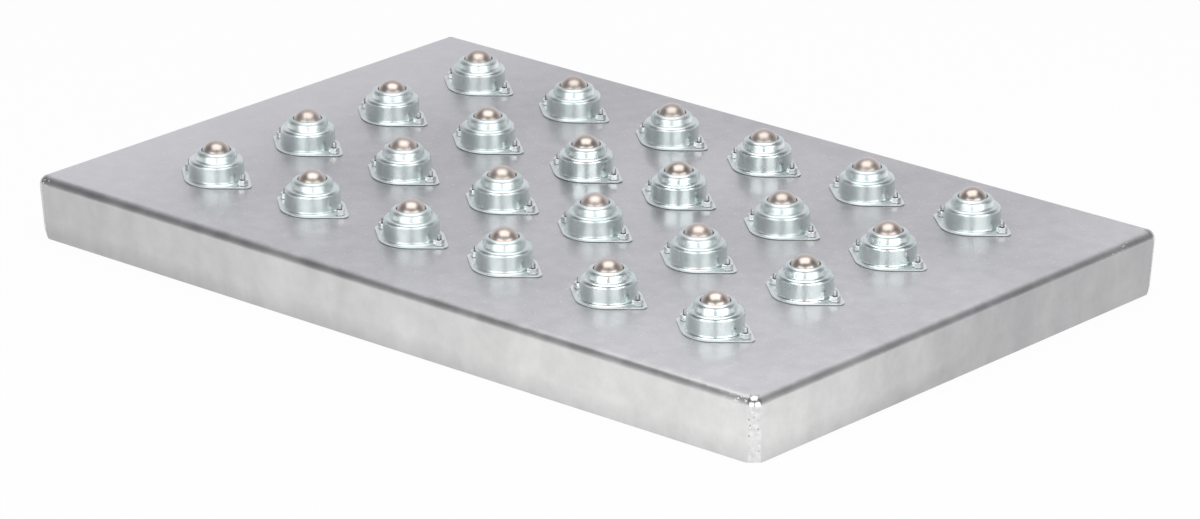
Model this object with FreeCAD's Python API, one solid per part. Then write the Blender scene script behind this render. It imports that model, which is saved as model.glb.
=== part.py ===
import FreeCAD, Part
import math
import os

# Ball transfer platform: a folded steel tray, open underneath, that carries a grid of ball transfer units.
# Each unit is a drawn housing with two ears, a bearing bowl, a bed of small support balls and one load ball.
# Two screws come up through the deck at each unit and hold its ears with nuts.
# Frame: millimetres, X along the tray, Y across it, Z up, origin under the middle of the tray on the floor.

# Grid of units, as centre distances; the two middle columns and rows stand a little closer
COLUMN_LETTERS = "abcdef"
ROW_COUNT = 4
COLUMN_PITCH = 100.0
COLUMN_MIDDLE_GAP = 92.0
ROW_PITCH = 99.0
ROW_MIDDLE_GAP = 94.5

# Tray of folded sheet, bent a little past square and welded at its corners
END_MARGIN = 108.5
SIDE_MARGIN = 85.0
TRAY_HEIGHT = 49.5
TRAY_SHEET = 2.0
SKIRT_LEAN_DEG = 3.0
BEND_INNER_RADIUS = 5.5
CORNER_INNER_RADIUS = 6.0
WELD_MARGIN = 0.4
CORNER_CLIP_HEIGHT = 6.5
CORNER_CLIP_DEPTH = 2.5

# Load ball, the bed of support balls under it and the bowl that holds them
LOAD_BALL_DIAMETER = 22.2
SUPPORT_BALL_DIAMETER = 3.0
SUPPORT_BALL_SPACE = 0.4
SUPPORT_RING_COUNT = 4
LOAD_BALL_GAP = 0.2
BOWL_GAP = 0.05
BOWL_SHEET = 1.5
BOWL_DECK_GAP = 2.95
BOWL_FOOT_GAP = 0.25
BOWL_FIT_GAP = 0.05
BOWL_CORNER_EASE = 0.3

# Drawn housing, from its flange up to the lip that is folded down round the load ball
HOUSING_SHEET = 1.0
BODY_DRAFT_DEG = 1.5
SHOULDER_DROP = 2.1
SHOULDER_FLAT = 0.6
COLLAR_GAP = 4.0
COLLAR_LEAN_DEG = 12.0
CROWN_SLOPE_DEG = 20.0
LIP_DEPTH = 2.1
LIP_HOLD = 0.1
LIP_GAP = 0.3
BASE_FILLET = 2.4
SHOULDER_INNER_RADIUS = 2.2
COLLAR_FOOT_RADIUS = 0.8
CROWN_INNER_RADIUS = 3.0
LIP_INNER_RADIUS = 0.1
BRIM_FLAT = 1.0
EAR_END_MARGIN = 7.3
EAR_TIP_RADIUS = 5.0

# Screws with cross-slotted pan heads, and hexagon nuts
SCREW_DIAMETER = 4.0
SCREW_STUB = 3.8
SCREW_TIP_CHAMFER = 0.6
HEAD_DIAMETER = 8.0
HEAD_HEIGHT = 2.8
HEAD_EDGE_RADIUS = 1.6
SLOT_LENGTH = 4.4
SLOT_WIDTH = 1.0
SLOT_DEPTH = 1.4
NUT_FLATS = 7.0
NUT_HEIGHT = 4.4
NUT_GAP = 0.1
NUT_CHAMFER_DEG = 30.0
THREAD_GAP = 0.05
DECK_HOLE_PLAY = 0.5
EAR_HOLE_PLAY = 0.8

# How far a cutting tool runs past the piece that it cuts
RUN_OUT = 5.0

# Places worked out from the sizes above
LEAN = math.radians(SKIRT_LEAN_DEG)
DRAFT = math.radians(BODY_DRAFT_DEG)
COLLAR_LEAN = math.radians(COLLAR_LEAN_DEG)
CROWN_SLOPE = math.radians(CROWN_SLOPE_DEG)
SKIRT_INSET = TRAY_HEIGHT * math.tan(LEAN)
BEND_OUTER_RADIUS = BEND_INNER_RADIUS + TRAY_SHEET
CORNER_OUTER_RADIUS = CORNER_INNER_RADIUS + TRAY_SHEET
WELD_LEG = CORNER_OUTER_RADIUS + SKIRT_INSET + WELD_MARGIN

LOAD_BALL_RADIUS = LOAD_BALL_DIAMETER / 2
BOWL_INNER_RADIUS = LOAD_BALL_RADIUS + LOAD_BALL_GAP + SUPPORT_BALL_DIAMETER + BOWL_GAP
BOWL_OUTER_RADIUS = BOWL_INNER_RADIUS + BOWL_SHEET
BALL_CENTRE = BOWL_DECK_GAP + BOWL_OUTER_RADIUS
SUPPORT_ORBIT = LOAD_BALL_RADIUS + LOAD_BALL_GAP + SUPPORT_BALL_DIAMETER / 2

SHOULDER_HEIGHT = BALL_CENTRE - SHOULDER_DROP
COLLAR_RADIUS = LOAD_BALL_RADIUS + COLLAR_GAP + HOUSING_SHEET
SHOULDER_OUTER_RADIUS = SHOULDER_INNER_RADIUS + HOUSING_SHEET
BODY_TOP_RADIUS = COLLAR_RADIUS + COLLAR_FOOT_RADIUS + SHOULDER_FLAT + SHOULDER_OUTER_RADIUS
BODY_BASE_RADIUS = BODY_TOP_RADIUS + (SHOULDER_HEIGHT - HOUSING_SHEET) * math.tan(DRAFT)
LIP_RADIUS = LOAD_BALL_RADIUS - LIP_HOLD
LIP_FOOT_HEIGHT = BALL_CENTRE + math.sqrt(LOAD_BALL_RADIUS**2 - (LIP_RADIUS - LIP_GAP) ** 2)
FLANGE_RADIUS = BODY_BASE_RADIUS + BASE_FILLET + BRIM_FLAT

NUT_CORNER_RADIUS = NUT_FLATS / math.sqrt(3)
SCREW_REACH = BODY_BASE_RADIUS + BASE_FILLET + NUT_GAP + NUT_CORNER_RADIUS
EAR_END = SCREW_REACH + EAR_END_MARGIN
NUT_SEAT = HOUSING_SHEET
SCREW_LENGTH = TRAY_SHEET + HOUSING_SHEET + NUT_HEIGHT + SCREW_STUB

UP = FreeCAD.Vector(0, 0, 1)
ORIGIN = FreeCAD.Vector(0, 0, 0)


def mirrored_places(count, pitch, middle_gap):
    """Places along one axis for an even count, the same on both sides of zero."""
    right = [middle_gap / 2 + step * pitch for step in range(count // 2)]
    return [-place for place in reversed(right)] + right


COLUMN_PLACES = mirrored_places(len(COLUMN_LETTERS), COLUMN_PITCH, COLUMN_MIDDLE_GAP)
ROW_PLACES = mirrored_places(ROW_COUNT, ROW_PITCH, ROW_MIDDLE_GAP)
TRAY_LENGTH = 2 * (COLUMN_PLACES[-1] + END_MARGIN)
TRAY_WIDTH = 2 * (ROW_PLACES[-1] + SIDE_MARGIN)


def flat(radius, height):
    """A point of a turned section: radius from the axis and height."""
    return FreeCAD.Vector(radius, 0, height)


def crossing(start, direction, other_start, other_direction):
    """The point where two lines of the XZ plane cross."""
    gap = other_start - start
    area = direction.x * other_direction.z - direction.z * other_direction.x
    along = (gap.x * other_direction.z - gap.z * other_direction.x) / area
    return start + direction * along


def directions_of(corners):
    """The unit direction of each straight run of a path."""
    return [(after - before).normalize() for before, after in zip(corners, corners[1:])]


def left_of(direction):
    """The unit vector on the left of a direction of the XZ plane."""
    return FreeCAD.Vector(-direction.z, 0, direction.x)


def turns_left(before, after):
    """Whether a path of the XZ plane turns left from one direction to the next."""
    return before.x * after.z - before.z * after.x > 0


def shifted_left(corners, distance):
    """The corners of the path that runs beside a path, at a distance on its left."""
    sides = [left_of(direction) for direction in directions_of(corners)]
    moved = [corners[0] + sides[0] * distance]
    for corner, before, after in zip(corners[1:], sides, sides[1:]):
        moved.append(corner + (before + after) * (distance / (1 + before.dot(after))))
    moved.append(corners[-1] + sides[-1] * distance)
    return moved


def rounded_path(corners, radii):
    """Edges through the corners of a path, with a tangent arc at each inner corner."""
    edges = []
    start = corners[0]
    for before, corner, after, radius in zip(corners, corners[1:], corners[2:], radii):
        back = (before - corner).normalize()
        onward = (after - corner).normalize()
        half_angle = back.getAngle(onward) / 2
        arc_start = corner + back * (radius / math.tan(half_angle))
        arc_end = corner + onward * (radius / math.tan(half_angle))
        inward = (back + onward).normalize()
        arc_middle = corner + inward * (radius / math.sin(half_angle) - radius)
        edges.append(Part.LineSegment(start, arc_start).toShape())
        edges.append(Part.Arc(arc_start, arc_middle, arc_end).toShape())
        start = arc_end
    edges.append(Part.LineSegment(start, corners[-1]).toShape())
    return edges


def turned_sheet(corners, inner_radii, thickness):
    """A sheet turned about the axis: its skin follows the corners, and its thickness lies on their left.

    Each bend is given by the radius on the inside of the bend.
    """
    runs = directions_of(corners)
    lefts = [turns_left(before, after) for before, after in zip(runs, runs[1:])]
    skin_radii = [r + thickness if left else r for r, left in zip(inner_radii, lefts)]
    back_radii = [r if left else r + thickness for r, left in zip(inner_radii, lefts)]
    back_corners = shifted_left(corners, thickness)
    edges = rounded_path(corners, skin_radii) + rounded_path(back_corners, back_radii)
    edges.append(Part.LineSegment(corners[0], back_corners[0]).toShape())
    edges.append(Part.LineSegment(corners[-1], back_corners[-1]).toShape())
    section = Part.Face(Part.Wire(Part.__sortEdges__(edges)))
    return section.revolve(ORIGIN, UP, 360)


def upright_cylinder(radius, bottom, top, x=0.0, y=0.0):
    """A round bar along Z between two heights."""
    return Part.makeCylinder(radius, top - bottom, FreeCAD.Vector(x, y, bottom))


def eared_outline():
    """The flange's outline: a round brim with straight sides running out to two rounded ears along X."""
    tip_centre = EAR_END - EAR_TIP_RADIUS
    sine = (FLANGE_RADIUS - EAR_TIP_RADIUS) / tip_centre
    cosine = math.sqrt(1 - sine * sine)
    brim = FreeCAD.Vector(FLANGE_RADIUS * sine, FLANGE_RADIUS * cosine, 0)
    tip = FreeCAD.Vector(tip_centre + EAR_TIP_RADIUS * sine, EAR_TIP_RADIUS * cosine, 0)

    def at(point, x_sign, y_sign):
        return FreeCAD.Vector(x_sign * point.x, y_sign * point.y, 0)

    edges = []
    for sign in (1, -1):
        ear_end = FreeCAD.Vector(sign * EAR_END, 0, 0)
        brim_side = FreeCAD.Vector(0, sign * FLANGE_RADIUS, 0)
        edges.append(Part.Arc(at(tip, sign, 1), ear_end, at(tip, sign, -1)).toShape())
        edges.append(Part.Arc(at(brim, -1, sign), brim_side, at(brim, 1, sign)).toShape())
        for side in (1, -1):
            edges.append(Part.LineSegment(at(brim, sign, side), at(tip, sign, side)).toShape())
    return Part.Wire(Part.__sortEdges__(edges))


def housing_corners():
    """The corners of the housing's outer skin, from the brim over the crown and down inside the lip."""
    collar_foot = flat(COLLAR_RADIUS, SHOULDER_HEIGHT)
    collar_rise = flat(-math.sin(COLLAR_LEAN), math.cos(COLLAR_LEAN))
    lip_top = flat(LIP_RADIUS, LIP_FOOT_HEIGHT + LIP_DEPTH)
    crown_rise = flat(-math.cos(CROWN_SLOPE), math.sin(CROWN_SLOPE))
    crown = crossing(collar_foot, collar_rise, lip_top, crown_rise)
    return [
        flat(FLANGE_RADIUS, HOUSING_SHEET),
        flat(BODY_BASE_RADIUS, HOUSING_SHEET),
        flat(BODY_TOP_RADIUS, SHOULDER_HEIGHT),
        collar_foot,
        crown,
        lip_top,
        flat(LIP_RADIUS, LIP_FOOT_HEIGHT),
    ]


def make_housing():
    """Drawn cup and eared flange in one sheet, with a screw hole in each ear."""
    bends = [BASE_FILLET, SHOULDER_INNER_RADIUS, COLLAR_FOOT_RADIUS, CROWN_INNER_RADIUS, LIP_INNER_RADIUS]
    cup = turned_sheet(housing_corners(), bends, HOUSING_SHEET)
    plate = Part.Face(eared_outline()).extrude(UP * HOUSING_SHEET)
    brim_middle = FLANGE_RADIUS - BRIM_FLAT / 2
    plate = plate.cut(upright_cylinder(brim_middle, -RUN_OUT, RUN_OUT))
    housing = cup.fuse(plate).removeSplitter()
    hole_radius = (SCREW_DIAMETER + EAR_HOLE_PLAY) / 2
    holes = [upright_cylinder(hole_radius, -RUN_OUT, RUN_OUT, x) for x in (-SCREW_REACH, SCREW_REACH)]
    return housing.cut(holes)


def body_wall_radius(height):
    """Inside radius of the housing's tapered wall at a height."""
    skin = BODY_TOP_RADIUS + (SHOULDER_HEIGHT - height) * math.tan(DRAFT)
    return skin - HOUSING_SHEET / math.cos(DRAFT)


def make_bowl():
    """Round bowl whose rim turns out under the housing's shoulder and down along its wall to the deck."""
    rim_height = SHOULDER_HEIGHT - HOUSING_SHEET
    rim_inside = math.sqrt(BOWL_INNER_RADIUS**2 - (BALL_CENTRE - rim_height) ** 2)
    corners = [
        flat(body_wall_radius(BOWL_FOOT_GAP) - BOWL_FIT_GAP, BOWL_FOOT_GAP),
        flat(body_wall_radius(rim_height) - BOWL_FIT_GAP, rim_height),
        flat(rim_inside, rim_height),
    ]
    corner_outer_radius = max(SHOULDER_INNER_RADIUS, BOWL_SHEET) + BOWL_CORNER_EASE
    rim = turned_sheet(corners, [corner_outer_radius - BOWL_SHEET], BOWL_SHEET)
    centre = flat(0, BALL_CENTRE)
    shell = Part.makeSphere(BOWL_OUTER_RADIUS, centre)
    lower_half = upright_cylinder(BOWL_OUTER_RADIUS + RUN_OUT, -RUN_OUT, rim_height)
    hollow = Part.makeSphere(BOWL_INNER_RADIUS, centre)
    return shell.common(lower_half).fuse(rim).cut(hollow).removeSplitter()


def support_ball_places():
    """Centres of the support balls: one at the bottom of the bowl and full rings round it."""
    step = SUPPORT_BALL_DIAMETER + SUPPORT_BALL_SPACE
    ring_angle = 2 * math.asin(step / (2 * SUPPORT_ORBIT))
    places = [flat(0, BALL_CENTRE - SUPPORT_ORBIT)]
    for ring in range(1, SUPPORT_RING_COUNT + 1):
        radius = SUPPORT_ORBIT * math.sin(ring * ring_angle)
        height = BALL_CENTRE - SUPPORT_ORBIT * math.cos(ring * ring_angle)
        count = int(math.pi / math.asin(step / (2 * radius)))
        for index in range(count):
            turn = 2 * math.pi * index / count
            places.append(FreeCAD.Vector(radius * math.cos(turn), radius * math.sin(turn), height))
    return places


def make_support_balls():
    """The bed of small balls of one unit."""
    return [Part.makeSphere(SUPPORT_BALL_DIAMETER / 2, place) for place in support_ball_places()]


def make_nut():
    """Hexagon nut whose corners are turned off to a cone on both faces."""
    turns = [math.radians(60 * index) for index in range(7)]
    corners = [FreeCAD.Vector(math.cos(turn), math.sin(turn), 0) * NUT_CORNER_RADIUS for turn in turns]
    prism = Part.Face(Part.makePolygon(corners)).extrude(UP * NUT_HEIGHT)
    face_radius = NUT_FLATS / 2
    edge = (NUT_CORNER_RADIUS - face_radius) * math.tan(math.radians(NUT_CHAMFER_DEG))
    section = [
        flat(0, 0),
        flat(face_radius, 0),
        flat(NUT_CORNER_RADIUS, edge),
        flat(NUT_CORNER_RADIUS, NUT_HEIGHT - edge),
        flat(face_radius, NUT_HEIGHT),
        flat(0, NUT_HEIGHT),
        flat(0, 0),
    ]
    blank = Part.Face(Part.makePolygon(section)).revolve(ORIGIN, UP, 360)
    bore = upright_cylinder(SCREW_DIAMETER / 2 + THREAD_GAP, -RUN_OUT, NUT_HEIGHT + RUN_OUT)
    nut = prism.common(blank).cut(bore)
    nut.translate(UP * NUT_SEAT)
    return nut


def make_screw():
    """Pan-head screw that points up: its head lies under the deck and its tip stands out of the nut."""
    head_seat = -TRAY_SHEET
    head = upright_cylinder(HEAD_DIAMETER / 2, head_seat - HEAD_HEIGHT, head_seat)
    face_edges = [edge for edge in head.Edges if edge.BoundBox.ZMax < head_seat - HEAD_HEIGHT / 2]
    head = head.makeFillet(HEAD_EDGE_RADIUS, face_edges)
    for size_x, size_y in ((SLOT_LENGTH, SLOT_WIDTH), (SLOT_WIDTH, SLOT_LENGTH)):
        corner = FreeCAD.Vector(-size_x / 2, -size_y / 2, head_seat - HEAD_HEIGHT - RUN_OUT)
        head = head.cut(Part.makeBox(size_x, size_y, RUN_OUT + SLOT_DEPTH, corner))
    shank_top = head_seat + SCREW_LENGTH
    shank = upright_cylinder(SCREW_DIAMETER / 2, head_seat, shank_top)
    tip_edges = [edge for edge in shank.Edges if edge.BoundBox.ZMin > shank_top - SCREW_TIP_CHAMFER]
    shank = shank.makeChamfer(SCREW_TIP_CHAMFER, tip_edges)
    return head.fuse(shank)


def tapered_block(length, width, bottom, top, bend_radius, corner_radius):
    """A block whose sides lean in towards the bottom, given by its size at the top, with rounded edges."""
    inset = (top - bottom) * math.tan(LEAN)
    x = length / 2
    y = width / 2
    foot_x = x - inset
    foot_y = y - inset
    block = Part.makeWedge(-foot_x, bottom, -foot_y, -y, -x, foot_x, top, foot_y, y, x)
    block.rotate(ORIGIN, FreeCAD.Vector(1, 0, 0), 90)
    upright = [edge for edge in block.Edges if edge.BoundBox.ZLength > (top - bottom) / 2]
    block = block.makeFillet(corner_radius, upright)
    rim = [edge for edge in block.Edges if edge.BoundBox.ZMin > top - bend_radius / 2]
    return block.makeFillet(bend_radius, rim)


def corner_places():
    """The tray's four corners as X sign, Y sign and the turn that brings the first corner there."""
    return [(1, 1, 0), (-1, 1, 90), (-1, -1, 180), (1, -1, 270)]


def corner_clips():
    """Wedges that take off the foot of each corner, where the seam was ground back."""
    outer_corner = (math.sqrt(2) - 1) * CORNER_OUTER_RADIUS
    lean_at_clip = (TRAY_HEIGHT - CORNER_CLIP_HEIGHT) * math.tan(LEAN) * math.sqrt(2)
    start = -outer_corner - lean_at_clip
    outline = [
        flat(start, CORNER_CLIP_HEIGHT),
        flat(start - CORNER_CLIP_DEPTH, 0),
        flat(start - CORNER_CLIP_DEPTH, -RUN_OUT),
        flat(start + 2 * RUN_OUT, -RUN_OUT),
        flat(start + 2 * RUN_OUT, CORNER_CLIP_HEIGHT),
        flat(start, CORNER_CLIP_HEIGHT),
    ]
    half_width = WELD_LEG
    wedge = Part.Face(Part.makePolygon(outline)).extrude(FreeCAD.Vector(0, 2 * half_width, 0))
    wedge.translate(FreeCAD.Vector(0, -half_width, 0))
    wedge.rotate(ORIGIN, UP, 45)
    clips = []
    for x_sign, y_sign, turn in corner_places():
        clip = wedge.copy()
        clip.rotate(ORIGIN, UP, turn)
        clip.translate(FreeCAD.Vector(x_sign * TRAY_LENGTH / 2, y_sign * TRAY_WIDTH / 2, 0))
        clips.append(clip)
    return clips


def corner_columns():
    """Upright blocks that hold the welded part of each corner."""
    height = TRAY_HEIGHT + 2 * RUN_OUT
    reach = WELD_LEG + RUN_OUT
    columns = []
    for x_sign, y_sign, turn in corner_places():
        x = min(x_sign * (TRAY_LENGTH / 2 - WELD_LEG), x_sign * (TRAY_LENGTH / 2 + RUN_OUT))
        y = min(y_sign * (TRAY_WIDTH / 2 - WELD_LEG), y_sign * (TRAY_WIDTH / 2 + RUN_OUT))
        columns.append(Part.makeBox(reach, reach, height, FreeCAD.Vector(x, y, -RUN_OUT)))
    return columns


def make_tray(unit_places):
    """The folded tray with its screw holes, and the welds that close its four corner seams."""
    deck_underside = TRAY_HEIGHT - TRAY_SHEET
    walls = 2 * (TRAY_SHEET / math.cos(LEAN) + TRAY_SHEET * math.tan(LEAN))
    length = TRAY_LENGTH - walls
    width = TRAY_WIDTH - walls
    outside = tapered_block(TRAY_LENGTH, TRAY_WIDTH, 0, TRAY_HEIGHT, BEND_OUTER_RADIUS, CORNER_OUTER_RADIUS)
    inside = tapered_block(length, width, -RUN_OUT, deck_underside, BEND_INNER_RADIUS, CORNER_INNER_RADIUS)
    pan = outside.cut([inside] + corner_clips())
    columns = corner_columns()
    welds = [pan.common(column) for column in columns]
    hole_radius = (SCREW_DIAMETER + DECK_HOLE_PLAY) / 2
    holes = []
    for place in unit_places:
        for x in (-SCREW_REACH, SCREW_REACH):
            bottom = deck_underside - RUN_OUT
            holes.append(upright_cylinder(hole_radius, bottom, TRAY_HEIGHT + RUN_OUT, place.x + x, place.y))
    return pan.cut(columns + holes), welds


def moved_copies(shapes, place):
    """Copies of shapes, moved from the middle of a unit to its place on the deck."""
    copies = []
    for shape in shapes:
        moved = shape.copy()
        moved.translate(place)
        copies.append(moved)
    return copies


def write(name, shapes):
    """Writes one node, which may hold several separate solids."""
    solids = [solid for shape in shapes for solid in shape.Solids]
    shape = solids[0] if len(solids) == 1 else Part.makeCompound(solids)
    shape.exportStep(f"parts/{name}.step")


def main():
    os.makedirs("parts", exist_ok=True)
    places = {}
    for letter, x in zip(COLUMN_LETTERS, COLUMN_PLACES):
        for row, y in enumerate(ROW_PLACES, start=1):
            places[f"{letter}{row}"] = FreeCAD.Vector(x, y, TRAY_HEIGHT)

    tray, welds = make_tray(places.values())
    write("tray", [tray])
    write("corner_welds", welds)

    housing = make_housing()
    load_ball = Part.makeSphere(LOAD_BALL_RADIUS, flat(0, BALL_CENTRE))
    for unit, place in places.items():
        write(f"housing_{unit}", moved_copies([housing], place))
        write(f"load_ball_{unit}", moved_copies([load_ball], place))

    support_balls = make_support_balls()
    for letter in COLUMN_LETTERS:
        column = []
        for unit, place in places.items():
            if unit.startswith(letter):
                column += moved_copies(support_balls, place)
        write(f"support_balls_{letter}", column)

    bowl = make_bowl()
    screw = make_screw()
    nut = make_nut()
    bowls = []
    screws = []
    nuts = []
    for place in places.values():
        bowls += moved_copies([bowl], place)
        for x in (-SCREW_REACH, SCREW_REACH):
            screw_place = place + FreeCAD.Vector(x, 0, 0)
            screws += moved_copies([screw], screw_place)
            nuts += moved_copies([nut], screw_place)
    write("bearing_bowls", bowls)
    write("screws", screws)
    write("nuts", nuts)
    top = TRAY_HEIGHT + BALL_CENTRE + LOAD_BALL_RADIUS
    print(f"tray {TRAY_LENGTH:.1f} x {TRAY_WIDTH:.1f} mm, ball tops at {top:.2f} mm")
    print(f"flange {2 * EAR_END:.1f} x {2 * FLANGE_RADIUS:.1f} mm, screws {2 * SCREW_REACH:.1f} mm apart")
    print(f"{len(support_balls)} support balls in each of {len(places)} units")


main()
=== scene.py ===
# %% [markdown]
# # A ball transfer platform
# The real object is a folded sheet-metal tray with 24 ball transfer units on its deck. Goods are pushed
# over the balls by hand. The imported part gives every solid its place, so this lesson starts from it and adds
# what a photograph shows on top: bends that shade smoothly, screw threads, welds and metal finishes.

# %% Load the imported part
import math

import bpy
import numpy as np
from mathutils import Matrix, Vector


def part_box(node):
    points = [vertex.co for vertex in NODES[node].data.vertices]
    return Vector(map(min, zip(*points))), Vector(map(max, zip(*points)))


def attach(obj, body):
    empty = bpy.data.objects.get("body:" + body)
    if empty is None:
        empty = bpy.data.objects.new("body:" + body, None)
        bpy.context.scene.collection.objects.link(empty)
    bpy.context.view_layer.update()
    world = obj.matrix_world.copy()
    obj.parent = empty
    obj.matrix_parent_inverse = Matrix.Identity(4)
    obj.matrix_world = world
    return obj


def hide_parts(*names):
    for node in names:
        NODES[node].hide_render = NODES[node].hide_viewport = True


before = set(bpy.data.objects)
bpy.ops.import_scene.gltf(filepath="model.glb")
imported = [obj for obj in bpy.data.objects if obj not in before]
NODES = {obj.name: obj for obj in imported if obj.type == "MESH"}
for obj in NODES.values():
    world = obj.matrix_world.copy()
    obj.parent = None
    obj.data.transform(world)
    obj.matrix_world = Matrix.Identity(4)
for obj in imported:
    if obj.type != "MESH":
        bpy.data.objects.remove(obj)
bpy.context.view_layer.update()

UNITS = sorted(name.split("_")[-1] for name in NODES if name.startswith("housing_"))
MM = 0.001
print("nodes", len(NODES), "units", len(UNITS))

# %% [markdown]
# ## The camera
# A long lens from far off keeps the tray's edges nearly parallel, as in the picture. The direction is given by
# two angles round the object and the point that the middle of the picture looks at. Building the three axes of
# the camera by hand shows what a rotation matrix is: its columns are the directions right, up and back.

# %% Camera
VIEW_AZIMUTH = math.radians(41.3)
VIEW_ELEVATION = math.radians(19.99)
VIEW_POINT = np.array([44.25, -39.56, 25.0]) * MM
VIEW_DISTANCE = 4572.8 * MM
PICTURE_WIDTH = 1200
FOCAL_PIXELS = 6203.6
SENSOR_WIDTH = 36.0


def camera_axes(azimuth, elevation):
    """Right, up and back of a level camera that stands at two angles round the object."""
    back = np.array([math.sin(azimuth) * math.cos(elevation),
                     -math.cos(azimuth) * math.cos(elevation),
                     math.sin(elevation)])
    right = np.array([math.cos(azimuth), math.sin(azimuth), 0.0])
    return right, np.cross(back, right), back


RIGHT, UP, BACK = camera_axes(VIEW_AZIMUTH, VIEW_ELEVATION)
camera_data = bpy.data.cameras.new("camera")
camera_data.sensor_width = SENSOR_WIDTH
camera_data.lens = FOCAL_PIXELS * SENSOR_WIDTH / PICTURE_WIDTH
camera_data.clip_end = 100.0
camera = bpy.data.objects.new("camera", camera_data)
place = VIEW_POINT + VIEW_DISTANCE * BACK
camera.matrix_world = Matrix([[*row, at] for row, at in zip(np.stack([RIGHT, UP, BACK], axis=1), place)]
                             + [[0, 0, 0, 1]])
bpy.context.scene.collection.objects.link(camera)
bpy.context.scene.camera = camera
print("camera at", place.round(3), "lens", round(camera_data.lens, 1))

# %% [markdown]
# ## A bench for finishes
# Every finish in this lesson is a small tree of nodes round one Principled shader. The patterns read Object
# coordinates, which are metres on the part, so a scale of 100 means a feature of about a centimetre. The class
# below keeps the tree short to write: each method adds one node and hands back its result.

# %% Finish helper
class Finish:
    """One procedural material whose patterns read the piece's own coordinates."""

    def __init__(self, name, metal=1.0):
        self.material = bpy.data.materials.new(name)
        self.material.use_nodes = True
        self.tree = self.material.node_tree
        self.shader = self.tree.nodes["Principled BSDF"]
        self.shader.inputs["Metallic"].default_value = metal
        self.where = self.add("TexCoord").outputs["Object"]

    def add(self, kind, settings=None, feeds=None):
        """One node: its settings, then its inputs, each a plain value or another node's result."""
        made = self.tree.nodes.new("ShaderNode" + kind)
        for name, value in (settings or {}).items():
            setattr(made, name, value)
        for name, value in (feeds or {}).items():
            self.feed(made.inputs[name], value)
        return made

    def feed(self, socket, value):
        if isinstance(value, bpy.types.NodeSocket):
            self.tree.links.new(value, socket)
        else:
            socket.default_value = value

    def stretched(self, x, y, z):
        """The piece's coordinates with a scale of their own along each axis."""
        return self.add("Mapping", None, {"Vector": self.where, "Scale": (x, y, z)}).outputs[0]

    def noise(self, scale, detail=2.0, where=None, roughness=0.5):
        feeds = {"Vector": where or self.where, "Scale": scale, "Detail": detail, "Roughness": roughness}
        return self.add("TexNoise", None, feeds).outputs[0]

    def remap(self, value, low, high, to_low=0.0, to_high=1.0):
        feeds = {"Value": value, "From Min": low, "From Max": high, "To Min": to_low, "To Max": to_high}
        return self.add("MapRange", {"clamp": True}, feeds).outputs[0]

    def calculate(self, kind, first, second):
        return self.add("Math", {"operation": kind}, {0: first, 1: second}).outputs[0]

    def plus(self, first, second):
        return self.calculate("ADD", first, second)

    def minus(self, first, second):
        return self.calculate("SUBTRACT", first, second)

    def times(self, first, second):
        return self.calculate("MULTIPLY", first, second)

    def mix(self, factor, first, second):
        return self.add("Mix", {"data_type": "RGBA"}, {0: factor, 6: first, 7: second}).outputs[2]

    def blend(self, factor, first, second):
        """A number between two numbers, as mix is a colour between two colours."""
        return self.add("Mix", {"data_type": "FLOAT"}, {0: factor, 2: first, 3: second}).outputs[0]

    def parts(self, vector):
        """The x, y and z of a vector."""
        return self.add("SeparateXYZ", None, {0: vector}).outputs

    def normal(self):
        return self.add("NewGeometry").outputs["Normal"]

    def bump(self, height, depth, below=None):
        feeds = {"Height": height, "Distance": depth, "Strength": 1.0}
        if below:
            feeds["Normal"] = below
        return self.add("Bump", None, feeds).outputs[0]

    def set(self, **feeds):
        for name, value in feeds.items():
            self.feed(self.shader.inputs[name.replace("_", " ")], value)


def colour(red, green, blue):
    """A linear colour with full opacity."""
    return (red, green, blue, 1.0)


print("finish bench ready")

# %% [markdown]
# ## Surfaces from two parameters
# Round and bent sheet parts are all one kind of shape: a row of rings, each a closed line of points. One
# parameter runs round a ring and the other runs from ring to ring. With whole arrays of points, four
# neighbours give a face, and no loop over single points is needed. The sign of the enclosed volume tells
# whether the faces look outwards.

# %% Surface builder
def ring_faces(copies, rings, around, wrap):
    """Corner numbers of the quads between neighbours: round each ring, and from a ring to the next."""
    index = np.arange(copies * rings * around).reshape(copies, rings, around)
    onward = np.roll(index, -1, axis=2)
    last = rings if wrap else rings - 1
    quads = np.stack([index, onward, np.roll(onward, -1, axis=1), np.roll(index, -1, axis=1)], axis=-1)
    return quads[:, :last].reshape(-1, 4)


def end_fans(copies, rings, around):
    """Triangles from the first and last ring of each copy to a middle point of its own."""
    index = np.arange(copies * rings * around).reshape(copies, rings, around)
    poles = copies * rings * around + np.arange(2 * copies).reshape(2, copies, 1) + 0 * index[None, :, 0, :]
    first, last = index[:, 0], index[:, -1]
    low = np.stack([np.roll(first, -1, axis=1), first, poles[0]], axis=-1)
    high = np.stack([last, np.roll(last, -1, axis=1), poles[1]], axis=-1)
    return np.concatenate([low, high]).reshape(-1, 3)


def enclosed_volume(points, faces):
    """Volume inside the faces: a sixth of the sum of corner a dot (b cross c) over their triangles."""
    total = 0.0
    for turn in range(1, faces.shape[1] - 1):
        a, b, c = points[faces[:, 0]], points[faces[:, turn]], points[faces[:, turn + 1]]
        total += np.einsum("ij,ij->", a, np.cross(b, c)) / 6
    return total


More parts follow.
